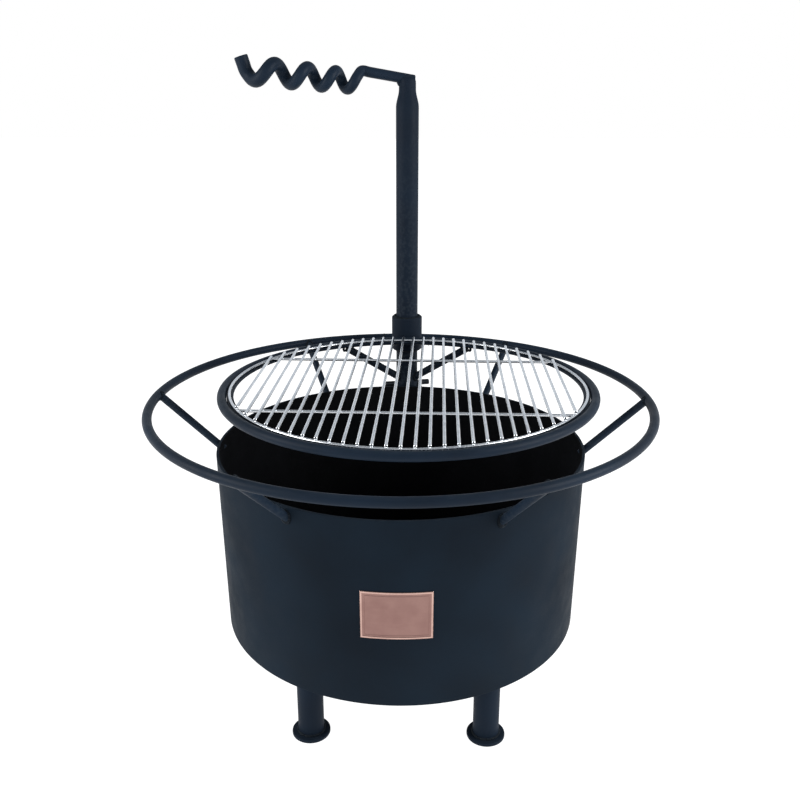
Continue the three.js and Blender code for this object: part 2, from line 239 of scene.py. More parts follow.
# a Mix node set to colours takes them at its sockets 6 and 7, and gives the blend at output 2
MIX_COLOURS = {"data_type": "RGBA"}
print("an orange peel 3 mm across needs a noise scale of", round(per_metre(3)))


# %% Mix the enamel
def stoved_enamel(name, deep, light, peel, gloss, level, dent):
    """Semi-gloss silicone enamel: IOR 1.5, and a low specular level for its matting powder."""
    material, tree = new_material(name)
    place = [("Vector", add(tree, "ShaderNodeTexCoord", {}).outputs["Object"])]
    surface = add(tree, "ShaderNodeNewGeometry", {})
    noises = []
    for size, detail in ((160, 3), (25, 4), (7, 4), (40, 4), (2, 4), (peel, 2), (70, 1)):
        scale = {"Scale": per_metre(size), "Detail": detail}
        noises.append(add(tree, "ShaderNodeTexNoise", scale, place))
    clouds, spots, bits, sheen, specks, skin, dents = noises

    # the colour drifts, in clouds about 160 mm across
    drift = add(tree, "ShaderNodeMapRange", NOISE_SPAN, [(0, clouds)])
    both = MIX_COLOURS | {6: linear(deep), 7: linear(light)}
    coat = add(tree, "ShaderNodeMix", both, [(0, drift)]).outputs[2]

    # dust lies on what faces up, in patches about 25 mm across
    facing = add(tree, "ShaderNodeSeparateXYZ", {}, [(0, surface.outputs["Normal"])])
    steep = {"From Min": 0.55, "From Max": 1.0, "To Max": 0.2}
    upward = add(tree, "ShaderNodeMapRange", steep, [(0, facing.outputs["Z"])])
    patches = add(tree, "ShaderNodeMapRange", NOISE_SPAN | {"To Min": 0.3}, [(0, spots)])
    dust = add(tree, "ShaderNodeMath", {"operation": "MULTIPLY"}, [(0, upward), (1, patches)])
    grey = MIX_COLOURS | {7: linear("#3c444b")}
    dusty = add(tree, "ShaderNodeMix", grey, [(0, dust), (6, coat)]).outputs[2]

    # the paint is rubbed thin along sharp edges, in bits about 7 mm long
    sharp = {"From Min": 0.53, "From Max": 0.6, "To Max": 0.5}
    edges = add(tree, "ShaderNodeMapRange", sharp, [(0, surface.outputs["Pointiness"])])
    chips = add(tree, "ShaderNodeMapRange", {"From Min": 0.45, "From Max": 0.62}, [(0, bits)])
    rubbed = add(tree, "ShaderNodeMath", {"operation": "MULTIPLY"}, [(0, edges), (1, chips)])
    worn = MIX_COLOURS | {7: linear("#3b4248")}
    colour = add(tree, "ShaderNodeMix", worn, [(0, rubbed), (6, dusty)]).outputs[2]

    # gloss drifts over 40 mm and is broken up by fine dry spray, 2 mm
    wide = NOISE_SPAN | {"To Min": gloss - 0.06, "To Max": gloss + 0.08}
    broad = add(tree, "ShaderNodeMapRange", wide, [(0, sheen)])
    fine = NOISE_SPAN | {"To Min": -0.03, "To Max": 0.05}
    spray = add(tree, "ShaderNodeMapRange", fine, [(0, specks)])
    rough = add(tree, "ShaderNodeMath", {"operation": "ADD"}, [(0, broad), (1, spray)])

    # orange peel, and under it the plate's own waves, 70 mm long
    bumps = add(tree, "ShaderNodeBump", {"Strength": 0.25, "Distance": 0.12 * MM},
                [("Height", skin)])
    waves = add(tree, "ShaderNodeBump", {"Strength": 0.16, "Distance": dent * MM},
                [("Height", dents), ("Normal", bumps)])
    shader = add(tree, "ShaderNodeBsdfPrincipled", {"IOR": 1.5, "Specular IOR Level": level},
                 [("Base Color", colour), ("Roughness", rough), ("Normal", waves)])
    add(tree, "ShaderNodeOutputMaterial", {}, [("Surface", shader)])
    return material


# on plate: the dullest, with long shallow waves, so the drum's sides fade and don't flash
drum_enamel = stoved_enamel("stoved_enamel_on_plate", "#141b23", "#18222c", 3.0, 0.58, 0.03, 1.2)
# on pipe: a little glossier, so that legs and mast get a soft line of light down each side
bar_enamel = stoved_enamel("stoved_enamel_on_pipe", "#151c26", "#19232f", 2.2, 0.5, 0.045, 0.3)
# on thin tube: the glossiest, which draws the hoops and the handle as bright-edged lines; its colour
# is a lighter, bluer copy of the same enamel, painted light for the light that the thin tubes catch
# from the sides
hoop_enamel_painted_light = stoved_enamel("stoved_enamel_on_tube_painted_light", "#161f2a", "#1b2735", 2.2, 0.42, 0.07, 0.2)
# over weld: the same enamel painted darker, as painted shade, so that a bead reads as a shadow line
# with a few glints on its ripples
weld_enamel_painted_shade = stoved_enamel("stoved_enamel_over_weld_painted_shade", "#10151a", "#161c23", 1.5, 0.5, 0.05, 0.2)
print("enamels:", drum_enamel.name, bar_enamel.name, hoop_enamel_painted_light.name, weld_enamel_painted_shade.name)


# %% [markdown]
# ## Soot, nickel, copper and steel
#
# Inside the drum the fire burns the gloss off the enamel and leaves soot, which hardly reflects at
# all. The grate is drawn wire with bright nickel plating: a metal, so its colour tints the
# reflection and nearly all it shows is what is around it. The nameplate is sheet copper, brushed
# lengthways and a little tarnished. Pin and bushing are plain steel kept from rust with oil.

# %% Mix the soot
def burnt_soot():
    """Soot over burnt enamel: matt, near black, greyer where ash has flown."""
    material, tree = new_material("soot_over_burnt_enamel")
    place = [("Vector", add(tree, "ShaderNodeTexCoord", {}).outputs["Object"])]
    clouds = add(tree, "ShaderNodeTexNoise", {"Scale": per_metre(90), "Detail": 6}, place)
    drift = add(tree, "ShaderNodeMapRange", NOISE_SPAN, [(0, clouds)])
    both = MIX_COLOURS | {6: linear("#08090b"), 7: linear("#0f1013")}
    black = add(tree, "ShaderNodeMix", both, [(0, drift)]).outputs[2]
    flakes = add(tree, "ShaderNodeTexNoise", {"Scale": per_metre(6), "Detail": 5}, place)
    thin = {"From Min": 0.55, "From Max": 0.75, "To Max": 0.35}
    ash = add(tree, "ShaderNodeMapRange", thin, [(0, flakes)])
    grey = MIX_COLOURS | {7: linear("#1c1c1f")}
    colour = add(tree, "ShaderNodeMix", grey, [(0, ash), (6, black)]).outputs[2]
    grain = add(tree, "ShaderNodeTexNoise", {"Scale": per_metre(4), "Detail": 6}, place)
    bumps = add(tree, "ShaderNodeBump", {"Strength": 0.6, "Distance": 0.5 * MM},
                [("Height", grain)])
    shader = add(tree, "ShaderNodeBsdfPrincipled", {"Roughness": 0.92, "Specular IOR Level": 0.08},
                 [("Base Color", colour), ("Normal", bumps)])
    add(tree, "ShaderNodeOutputMaterial", {}, [("Surface", shader)])
    return material


soot = burnt_soot()
print("soot:", soot.name)


# %% Mix the metals
def worked_metal(name, clean, dull, size, rough, stretch=(1, 1, 1), depth=0.03):
    """Bare or plated metal, its pattern stretched the way that it was drawn or brushed."""
    material, tree = new_material(name)
    where = [("Vector", add(tree, "ShaderNodeTexCoord", {}).outputs["Object"])]
    place = [("Vector", add(tree, "ShaderNodeMapping", {"Scale": stretch}, where))]
    spots = add(tree, "ShaderNodeTexNoise", {"Scale": per_metre(30), "Detail": 5}, where)
    stains = add(tree, "ShaderNodeMapRange", {"From Min": 0.35, "From Max": 0.7}, [(0, spots)])
    both = MIX_COLOURS | {6: linear(clean), 7: linear(dull)}
    colour = add(tree, "ShaderNodeMix", both, [(0, stains)]).outputs[2]
    lines = add(tree, "ShaderNodeTexNoise", {"Scale": per_metre(size), "Detail": 3}, place)
    wide = NOISE_SPAN | {"To Min": rough - 0.07, "To Max": rough + 0.09}
    spread = add(tree, "ShaderNodeMapRange", wide, [(0, lines)])
    bumps = add(tree, "ShaderNodeBump", {"Strength": 0.35, "Distance": depth * MM},
                [("Height", lines)])
    shader = add(tree, "ShaderNodeBsdfPrincipled", {"Metallic": 1.0},
                 [("Base Color", colour), ("Roughness", spread), ("Normal", bumps)])
    add(tree, "ShaderNodeOutputMaterial", {}, [("Surface", shader)])
    return material


# plated wire: bright and a little blue, with a faint unevenness 1.5 mm across in its shine
nickel = worked_metal("bright_nickel_plate", "#f2f4f6", "#dde1e6", 1.5, 0.22, depth=0.008)
# copper sheet: soft pink-brown, brushed sideways, its lines 27 mm long and 0.8 mm apart
copper = worked_metal("brushed_copper", "#94746d", "#8b6b65", 16, 0.38, (0.6, 0.6, 20), 0.05)
# the raised border is rubbed brighter each time that the plate is wiped, which frames the panel
bright_copper = worked_metal("rubbed_copper", "#c9a79c", "#b8958b", 3, 0.3)
# oiled steel: dark, with a soft shine and turning marks about 1 mm apart
steel = worked_metal("oiled_turned_steel", "#4b4e53", "#2f3136", 6, 0.42, (1, 1, 6), 0.04)
print("metals:", nickel.name, copper.name, bright_copper.name, steel.name)

# %% [markdown]
# ## Three ways to make a shape
#
# Nearly all of the pit is turned, rolled or bent. A turned piece is an outline spun round an axis;
# its sharp corners are eased first, because no steel edge is perfectly sharp and the eased edge
# is what catches the light. A bar or tube is a ring of points carried along a path. A weld is
# also a ring carried along a path, but its thickness ripples as the torch paused at each dip.


# %% Spin an outline
def eased(outline, radius, steps=3):
    """Round every corner of a closed outline of (distance, height) points."""
    most = 1 / 2.2  # of an edge's length, so that the roundings at its two ends don't meet
    made = []
    count = len(outline)
    for index, corner in enumerate(outline):
        here = Vector(corner)
        before = Vector(outline[index - 1])
        after = Vector(outline[(index + 1) % count])
        reach_in = min(radius, (before - here).length * most)
        reach_out = min(radius, (after - here).length * most)
        start = here + (before - here).normalized() * reach_in
        end = here + (after - here).normalized() * reach_out
        for step in range(steps + 1):
            share = step / steps
            first = start.lerp(here, share)
            made.append(first.lerp(here.lerp(end, share), share))
    return made


def spun(outline, sides, centre=(0, 0)):
    """Spin a closed outline about an upright axis."""
    shape = bmesh.new()
    rings = []
    for side in range(sides):
        angle = 2 * math.pi * side / sides
        turn = (math.cos(angle), math.sin(angle))
        rings.append([
            shape.verts.new((centre[0] + r * turn[0], centre[1] + r * turn[1], z))
            for r, z in outline
        ])
    count = len(outline)
    for side in range(sides):
        one, two = rings[side], rings[(side + 1) % sides]
        for index in range(count):
            following = (index + 1) % count
            shape.faces.new((one[index], two[index], two[following], one[following]))
    bmesh.ops.remove_doubles(shape, verts=shape.verts, dist=0.001 * MM)
    return shape


def tube_outline(inner, outer, low, high):
    return [(inner, low), (outer, low), (outer, high), (inner, high)]


print("an eased square has", len(eased(tube_outline(1, 2, 0, 1), 0.1)), "points")


# %% Carry a ring along a path
def swept(points, radii, sides=24, closed=False, shape=None):
    """Carry a ring along points without twisting it; radii gives its size at each point."""
    shape = shape or bmesh.new()
    count = len(points)
    ahead = []
    for index in range(count):
        before = points[index - 1] if closed or index else points[0]
        after = points[(index + 1) % count] if closed or index < count - 1 else points[-1]
        ahead.append((after - before).normalized())
    across = ahead[0].orthogonal().normalized()
    frames = [across]
    for index in range(1, count):
        turn = ahead[index - 1].rotation_difference(ahead[index])
        across = turn @ across
        frames.append(across)
    slip = 0.0
    if closed:
        back = ahead[-1].rotation_difference(ahead[0]) @ across
        slip = math.atan2(back.cross(frames[0]).dot(ahead[0]), back.dot(frames[0]))
    rings = []
    for index, (point, radius) in enumerate(zip(points, radii)):
        axis = ahead[index]
        first = Matrix.Rotation(slip * index / count, 3, axis) @ frames[index]
        second = axis.cross(first)
        rings.append([
            shape.verts.new(point + radius * (
                math.cos(2 * math.pi * side / sides) * first
                + math.sin(2 * math.pi * side / sides) * second))
            for side in range(sides)
        ])
    for index in range(count if closed else count - 1):
        one, two = rings[index], rings[(index + 1) % count]
        for side in range(sides):
            following = (side + 1) % sides
            shape.faces.new((one[side], one[following], two[following], two[side]))
    if not closed:
        shape.faces.new(reversed(rings[0]))
        shape.faces.new(rings[-1])
    return shape


def circle(centre, radius, steps):
    return [
        Vector((
            centre[0] + radius * math.cos(2 * math.pi * step / steps),
            centre[1] + radius * math.sin(2 * math.pi * step / steps),
            centre[2],
        ))
        for step in range(steps)
    ]


print("a full turn in 8 steps:", len(circle((0, 0, 0), 1, 8)), "points")


# %% Lay a weld bead
RIPPLE = 3.2 * MM  # from one ripple of a bead to the next


def bead(points, radius, shape=None, seed=0.0):
    """A closed weld bead along points, rippled, and a little uneven as it is laid by hand."""
    fine = []
    count = len(points)
    for index in range(count):
        start = points[index]
        end = points[(index + 1) % count]
        pieces = max(1, round((end - start).length / (RIPPLE / 4)))
        fine += [start.lerp(end, piece / pieces) for piece in range(pieces)]
    length = sum((fine[i] - fine[i - 1]).length for i in range(len(fine)))
    ripples = max(3, round(length / RIPPLE))
    radii = []
    for index, point in enumerate(fine):
        wave = math.cos(2 * math.pi * ripples * index / len(fine))
        wander = noise.noise(point * 120 + Vector((seed, 0, 0)))
        radii.append(radius * (1 + 0.09 * wave + 0.14 * wander))
    return swept(fine, radii, sides=10, closed=True, shape=shape)


print("bead ripples are", RIPPLE / MM, "mm apart")


# %% Finish a piece
def finished(name, shape, finish, body, nodes=(), sharp=40):
    """Turn a shape into a piece that rides on a body and stands for its CAD nodes."""
    bmesh.ops.recalc_face_normals(shape, faces=shape.faces)
    mesh = bpy.data.meshes.new(name)
    shape.to_mesh(mesh)
    shape.free()
    for material in finish if isinstance(finish, (list, tuple)) else [finish]:
        mesh.materials.append(material)
    mesh.shade_smooth()
    mesh.set_sharp_from_angle(angle=math.radians(sharp))
    piece = bpy.data.objects.new(name, mesh)
    bpy.context.collection.objects.link(piece)
    if nodes:
        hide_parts(*nodes)
    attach(piece, body)
    print(f"{name}: {len(mesh.polygons)} faces on {body}")
    return piece


# %% [markdown]
# ## The drum
#
# The drum is a strip of plate rolled to a cylinder and butt welded, with a flat plate welded in as
# its floor. It narrows a few millimetres towards the base. An outline spun round the axis gives
# both walls at once. A plain cylinder would have no thickness at the rim, and the rim's two
# rounded edges are where the light runs round the drum. Faces inside get the soot.

# %% Make the drum shell
DRUM_SIDES = 288


def drum_radius(height):
    share = (height - drum_base) / (rim - drum_base)
    return base_radius + (rim_radius - base_radius) * share


shell_outline = eased([
    (base_radius - plate_thickness, drum_base),
    (base_radius, drum_base),
    (rim_radius, rim),
    (rim_radius - plate_thickness, rim),
], 1.6 * MM)
shell = spun(shell_outline, DRUM_SIDES)
for face in shell.faces:
    spot = face.calc_center_median()
    inside = math.hypot(spot.x, spot.y) < drum_radius(spot.z) - 0.9 * plate_thickness
    face.material_index = 1 if inside else 0
finished("drum_shell_rolled", shell, [drum_enamel, soot], "root", ["drum_shell"])

# %% Weld the drum's rolled seam
SEAM_ANGLE = math.radians(112)  # at the back, clear of the mast's standoff


def on_drum(angle, height, out=0.0):
    reach = drum_radius(height) + out
    return Vector((reach * math.cos(angle), reach * math.sin(angle), height))


SEAM_STEPS = 460
SEAM_STOP = 3 * MM  # short of the rim and of the base
SEAM_SINK = 2.2 * MM  # the bead's axis below the drum's skin
SEAM_RADIUS = 3.4 * MM
seam_points = []
seam_radii = []
for step in range(SEAM_STEPS + 1):
    height = drum_base + SEAM_STOP + (rim - drum_base - 2 * SEAM_STOP) * step / SEAM_STEPS
    sway = 0.4 * MM * noise.noise(Vector((0, 0, height * 60)))
    seam_points.append(on_drum(SEAM_ANGLE + sway / rim_radius, height, -SEAM_SINK))
    ripple = 0.175 * MM * math.cos(2 * math.pi * height / RIPPLE)
    taper = min(1, 0.4 + 0.06 * step, 0.4 + 0.06 * (SEAM_STEPS - step))
    seam_radii.append((SEAM_RADIUS + ripple) * taper)
seam = swept(seam_points, seam_radii, sides=12)
finished("drum_seam_weld", seam, weld_enamel_painted_shade, "root")

# %% Make the drum's floor
floor_low, floor_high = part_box("drum_bottom_plate")
floor_radius = (floor_high.x - floor_low.x) / 2
centre_hole = 0.01 * MM  # the outline stops just short of the axis, then closes on it
plate = spun(eased(tube_outline(centre_hole, floor_radius, floor_low.z, floor_high.z), 1 * MM), 144)
for face in plate.faces:
    face.material_index = 1 if face.calc_center_median().z > floor_low.z + 4 * MM else 0
finished("drum_floor", plate, [drum_enamel, soot], "root", ["drum_bottom_plate"])

drum_wall = floor_radius + GAP
inner_bead = bead(circle((0, 0, floor_high.z), drum_wall - 1 * MM, 180), 3.4 * MM)
finished("drum_floor_weld_inside", inner_bead, soot, "root")
under_bead = bead(circle((0, 0, floor_low.z + 1.2 * MM), drum_wall, 180), 2.6 * MM, seed=5)
finished("drum_floor_weld_under", under_bead, weld_enamel_painted_shade, "root")

# %% [markdown]
# ## Legs and feet
#
# Each leg is a length of pipe welded under the floor plate, with a round foot pad cut from plate.
# The pads' edges are ground round so that they don't dig in. The weld rings at both ends are the
# detail that makes them look fixed and not just placed.

# %% Make the legs and feet
PIPE_WALL = 4 * MM
for place in ("front_left", "front_right", "rear_right", "rear_left"):
    leg_low, leg_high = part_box(f"leg_{place}")
    centre = middle(f"leg_{place}")
    leg_radius = (leg_high.x - leg_low.x) / 2
    outline = eased(tube_outline(leg_radius - PIPE_WALL, leg_radius, leg_low.z, leg_high.z), 0.8 * MM)
    pipe = spun(outline, 64, centre)
    finished(f"leg_{place}_pipe", pipe, bar_enamel, "root", [f"leg_{place}"])

    pad_low, pad_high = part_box(f"foot_plate_{place}")
    pad_radius = (pad_high.x - pad_low.x) / 2
    outline = eased(tube_outline(centre_hole, pad_radius, pad_low.z, pad_high.z), 2.6 * MM, 5)
    pad = spun(outline, 72, centre)
    name = f"foot_pad_{place}"
    finished(name, pad, bar_enamel, "root", [f"foot_plate_{place}"])

    rings = bead(circle((*centre.xy, leg_high.z - 1.5 * MM), leg_radius, 60), 3.4 * MM)
    low_ring = circle((*centre.xy, pad_high.z + 1 * MM), leg_radius, 60)
    rings = bead(low_ring, 3.2 * MM, rings, seed=9)
    finished(f"leg_{place}_welds", rings, weld_enamel_painted_shade, "root")

# %% [markdown]
# ## The guard ring
#
# A tube is bent to a hoop, butted and welded, and stands off the drum on six bars. Each bar is
# cut to fit round the tube; here a bar simply ends inside it. Where bar and drum meet is found by
# following lines along the bar's skin until they touch the drum, which gives the true oval that
# a welder follows, and the bead is carried along it.

# %% Bend the guard ring
HOOP_STEPS = 240


def bent_hoop(name, centre, reach, tube, body, node):
    hoop = swept(circle(centre, reach, HOOP_STEPS), [tube] * HOOP_STEPS, closed=True)
    finished(name, hoop, hoop_enamel_painted_light, body, [node])


def butt_weld(name, centre, reach, tube, body, angle):
    """The raised band where a hoop's two ends are butted and welded."""
    out = Vector((math.cos(angle), math.sin(angle), 0))
    spot = centre + out * reach
    up = Vector((0, 0, 1))
    loop = [
        spot + (tube - 1.2 * MM) * (math.cos(turn) * out + math.sin(turn) * up)
        for turn in [2 * math.pi * step / 40 for step in range(40)]
    ]
    band = bead(loop, 2 * MM, seed=angle)
    finished(name, band, weld_enamel_painted_shade, body)


guard = (Vector((0, 0, guard_height)), guard_reach, guard_tube, "root")
bent_hoop("guard_hoop", *guard, "guard_ring")
butt_weld("guard_hoop_butt_weld", *guard, math.radians(97))

# %% Set the guard spokes
SPOKE_RADIUS = 8 * MM
SPOKE_FOOT_DROP = 27 * MM  # the bar's axis below the rim, just inside the drum's wall
SPOKE_HEAD_RISE = 3 * MM  # the bar's axis above the tube's axis
TRIES = 160  # places tried along each line that is followed to find a joint
TOUCHING = 0.4 * MM
SPOKES = {
    "left": 180, "front_left": 240, "front_right": 300,
    "right": 0, "back_right": 60, "back_left": 120,
}


def straight(start, end, radius, edge=0.8 * MM):
    """Points and radii for a straight bar with chamfered ends."""
    along = (end - start).normalized()
    points = [start, start + along * edge, start.lerp(end, 0.5), end - along * edge, end]
    return points, [radius - edge, radius, radius, radius, radius - edge]


def joint_line(start, end, radius, outside, steps=28):
    """Where a bar from start to end first meets a surface; outside() is the distance to it."""
    along = (end - start).normalized()
    first = along.orthogonal().normalized()
    second = along.cross(first)
    length = (end - start).length
    found = []
    for step in range(steps):
        angle = 2 * math.pi * step / steps
        ray = start + radius * (math.cos(angle) * first + math.sin(angle) * second)
        tries = [ray + along * (length * mark / TRIES) for mark in range(TRIES + 1)]
        touching = [place for place in tries if outside(place) <= TOUCHING]
        found.append(touching[0] if touching else min(tries, key=outside))
    return found


def off_drum(place):
    return math.hypot(place.x, place.y) - drum_radius(place.z)


def off_guard(place):
    return math.hypot(math.hypot(place.x, place.y) - guard_reach, place.z - guard_height) - guard_tube


for place, degrees in SPOKES.items():
    out = Vector((math.cos(math.radians(degrees)), math.sin(math.radians(degrees)), 0))
    foot = out * (rim_radius - SPOKE_RADIUS) + Vector((0, 0, rim - SPOKE_FOOT_DROP))
    head = out * guard_reach + Vector((0, 0, guard_height + SPOKE_HEAD_RISE))
    along = (head - foot).normalized()
    start = foot + along * 4 * MM
    end = head - along * 3 * MM
    points, radii = straight(start, end, SPOKE_RADIUS, 0.3 * MM)
    spoke = swept(points, radii)
    name = f"guard_bar_{place}"
    finished(name, spoke, hoop_enamel_painted_light, "root", [f"guard_spoke_{place}"])

    foot_line = joint_line(head, foot, SPOKE_RADIUS, off_drum)
    welds = bead(foot_line, 3.6 * MM, seed=degrees)
    head_line = joint_line(foot, head, SPOKE_RADIUS, off_guard)
    welds = bead(head_line, 2.4 * MM, welds, seed=degrees + 3)
    finished(f"guard_bar_{place}_welds", welds, weld_enamel_painted_shade, "root")

# %% [markdown]
# ## The nameplate
#
# A thin copper plate, curved to the drum. Such plates are pressed: the press leaves a raised
# border, a sunk panel and a fine line inside it. The panel is left blank on purpose. It is a grid
# bent over the drum, whose height at each point follows how far that point is from the edge.

# %% Press the nameplate
PLATE_WIDTH = 132 * MM
PLATE_HEIGHT = 96 * MM
plate_centre = middle("nameplate")
plate_angle = math.atan2(plate_centre.y, plate_centre.x)
BORDER = 4 * MM
PLATE_FACE = 2.3 * MM  # from the drum to the plate's raised face, where its width is measured
PRESSING = [  # distance in from the edge, height above the drum, both in millimetres
    (0, 1.5), (0.7, 2.2), (3.6, 2.2), (4.4, 1.5),
    (7.0, 1.5), (7.4, 1.15), (8.2, 1.15), (8.6, 1.5),
]


def pressed_height(inset):
    inset_mm = inset / MM
    for (near, low), (far, high) in zip(PRESSING, PRESSING[1:]):
        if near <= inset_mm < far:
            return (low + (high - low) * (inset_mm - near) / (far - near)) * MM
    return PRESSING[-1][1] * MM


def grid_lines(length, spacing):
    """Lines across the plate: close together along its pressed border, evenly spaced inside."""
    half = length / 2
    border = [half - distance * MM for distance, _ in PRESSING]
    count = round(2 * border[-1] / spacing)
    inside = [-border[-1] + 2 * border[-1] * step / count for step in range(1, count)]
    return sorted([-line for line in border] + inside + border)


def on_plate(across, up, lift):
    height = plate_centre.z + up
    reach = drum_radius(height) + GAP + lift
    angle = plate_angle + across / (drum_radius(plate_centre.z) + PLATE_FACE)
    return Vector((reach * math.cos(angle), reach * math.sin(angle), height))


columns = grid_lines(PLATE_WIDTH, 4 * MM)
rows = grid_lines(PLATE_HEIGHT, 6 * MM)
pressing = bmesh.new()
front = {}
back = {}
for i, across in enumerate(columns):
    for j, up in enumerate(rows):
        inset = min(PLATE_WIDTH / 2 - abs(across), PLATE_HEIGHT / 2 - abs(up))
        lift = pressed_height(max(0, inset)) - GAP
        front[i, j] = pressing.verts.new(on_plate(across, up, lift))
        back[i, j] = pressing.verts.new(on_plate(across, up, 0))
last_i = len(columns) - 1
last_j = len(rows) - 1
for i in range(last_i):
    for j in range(last_j):
        square = [(i, j), (i + 1, j), (i + 1, j + 1), (i, j + 1)]
        face = pressing.faces.new([front[key] for key in square])
        across = (columns[i] + columns[i + 1]) / 2
        up = (rows[j] + rows[j + 1]) / 2
        inset = min(PLATE_WIDTH / 2 - abs(across), PLATE_HEIGHT / 2 - abs(up))
        face.material_index = 1 if inset < BORDER else 0
        pressing.faces.new([back[key] for key in reversed(square)])
edge = [(i, 0) for i in range(last_i)] + [(last_i, j) for j in range(last_j)]
edge += [(i, last_j) for i in range(last_i, 0, -1)] + [(0, j) for j in range(last_j, 0, -1)]
for one, two in zip(edge, edge[1:] + edge[:1]):
    pressing.faces.new((front[one], back[one], back[two], front[two]))
finished("pressed_copper_plate", pressing, [copper, bright_copper], "root",
         ["nameplate"], sharp=25)

# %% [markdown]
# ## The mast socket
#
# Behind the drum a larger tube, held off by a block, takes the mast. A bushing with a flange lines
# it, so the mast turns and slides in a close fit and the height pin rests on the flange.

# %% Make the socket, its block and the bushing
socket_low, socket_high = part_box("socket_tube")
socket_radius = (socket_high.x - socket_low.x) / 2
SOCKET_WALL = 4.7 * MM
outline = eased(
    tube_outline(socket_radius - SOCKET_WALL, socket_radius, socket_low.z, socket_high.z), 1 * MM)
finished("mast_socket", spun(outline, 72, mast), bar_enamel, "root", ["socket_tube"])

block_low, block_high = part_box("socket_standoff")
BLOCK_SINK = 1.5 * MM  # the block runs a little into both walls, under the welds
block = bmesh.new()
bmesh.ops.create_cube(block, size=1)
block_front = drum_radius(block_low.z) - BLOCK_SINK
block_back = mast.y - socket_radius + BLOCK_SINK
block_size = (block_high.x - block_low.x, block_back - block_front, block_high.z - block_low.z)
for vertex in block.verts:
    vertex.co = Vector((
        vertex.co.x * block_size[0],
        vertex.co.y * block_size[1] + (block_front + block_back) / 2,
        vertex.co.z * block_size[2] + (block_low.z + block_high.z) / 2,
    ))
bmesh.ops.bevel(block, geom=block.edges[:], offset=1.2 * MM, segments=3, affect="EDGES")
finished("socket_block", block, bar_enamel, "root", ["socket_standoff"])


def block_line(y):
    """A loop round the block where it meets a wall at y."""
    half = block_size[0] / 2
    low, high = block_low.z, block_high.z
    return [Vector((x, y, z)) for x, z in ((-half, low), (half, low), (half, high), (-half, high))]


block_welds = bead(block_line(block_front + 2 * MM), 3.4 * MM, seed=2)
block_welds = bead(block_line(block_back + 1 * MM), 3.4 * MM, block_welds, seed=4)
finished("socket_block_welds", block_welds, weld_enamel_painted_shade, "root")

bush_low, bush_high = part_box("mast_bushing")
bush_bore = mast_radius + GAP
bush_wall = 2.7 * MM
flange_radius = (bush_high.x - bush_low.x) / 2
flange_low = bush_high.z - 4.5 * MM
outline = eased([
    (bush_bore, bush_low.z),
    (bush_bore + bush_wall, bush_low.z),
    (bush_bore + bush_wall, flange_low),
    (flange_radius, flange_low),
    (flange_radius, bush_high.z),
    (bush_bore, bush_high.z),
], 0.7 * MM)
finished("turned_bushing", spun(outline, 96, mast), steel, "bushing", ["mast_bushing"])

# %% [markdown]
# ## The mast
#
# The mast is a tube whose top is swaged, that is, squeezed down in a die to a narrower neck. The
# swage has no corners, so its outline is a smooth S between the two radii. A row of cross holes
# takes the height pin. Those are cut with a Boolean, as a drill would, and not painted on.

# %% Swage and drill the mast
NECK_RADIUS = 20 * MM
neck_start = mast_high.z - 47 * MM
neck_end = mast_high.z - 7 * MM
S_STEPS = 10


def swage(step):
    share = step / S_STEPS
    smooth = share * share * (3 - 2 * share)
    height = neck_start + (neck_end - neck_start) * share
    return mast_radius + (NECK_RADIUS - mast_radius) * smooth, height


outside_line = [swage(step) for step in range(S_STEPS + 1)]
outline = [(mast_radius - PIPE_WALL, mast_low.z), (mast_radius, mast_low.z)]
outline += outside_line
outline += [(NECK_RADIUS, mast_high.z - 1.5 * MM), (NECK_RADIUS - 1.5 * MM, mast_high.z)]
outline += [(centre_hole, mast_high.z), (centre_hole, mast_high.z - PIPE_WALL)]
outline += [(NECK_RADIUS - PIPE_WALL, mast_high.z - PIPE_WALL)]
outline += [(radius - PIPE_WALL, height) for radius, height in reversed(outside_line)]
mast_tube = finished("swaged_mast", spun(outline, 96, mast), bar_enamel, "swing_mast",
                     ["mast_tube"], sharp=50)

pin_low, pin_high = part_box("height_pin")
pin_middle = middle("height_pin")
PIN_RADIUS = (pin_high.z - pin_low.z) / 2
pull = Vector(next(joint["axis"] for joint in frame["record"]["behaviour"]["joints"]
                   if joint["name"] == "height_pin_pull")).normalized()
HOLE_PITCH = 50 * MM
HOLES = 5
DRILL_REACH = 45 * MM  # either side of the mast's axis
drill = bmesh.new()
for hole in range(HOLES):
    centre = Vector((mast.x, mast.y, pin_middle.z - hole * HOLE_PITCH))
    ends = [centre - pull * DRILL_REACH, centre + pull * DRILL_REACH]
    swept(ends, [PIN_RADIUS + GAP] * 2, sides=32, shape=drill)
bmesh.ops.recalc_face_normals(drill, faces=drill.faces)
drill_mesh = bpy.data.meshes.new("drill")
drill.to_mesh(drill_mesh)
drill.free()
drill_object = bpy.data.objects.new("drill", drill_mesh)
bpy.context.collection.objects.link(drill_object)
cut = mast_tube.modifiers.new("drilled", "BOOLEAN")
cut.object = drill_object
cut.operation = "DIFFERENCE"
cut.solver = "EXACT"
bpy.context.view_layer.update()
drilled = bpy.data.meshes.new_from_object(
    mast_tube.evaluated_get(bpy.context.evaluated_depsgraph_get()))
mast_tube.modifiers.clear()
mast_tube.data = drilled
bpy.data.objects.remove(drill_object)
print("mast drilled:", len(drilled.polygons), "faces")

# %% Make the height pin
PIN_HALF = 58.5 * MM
pin_points, pin_radii = straight(
    pin_middle - pull * PIN_HALF, pin_middle + pull * PIN_HALF, PIN_RADIUS, 1.4 * MM)
finished("cross_pin", swept(pin_points, pin_radii, sides=32), steel, "height_pin",
         ["height_pin"])

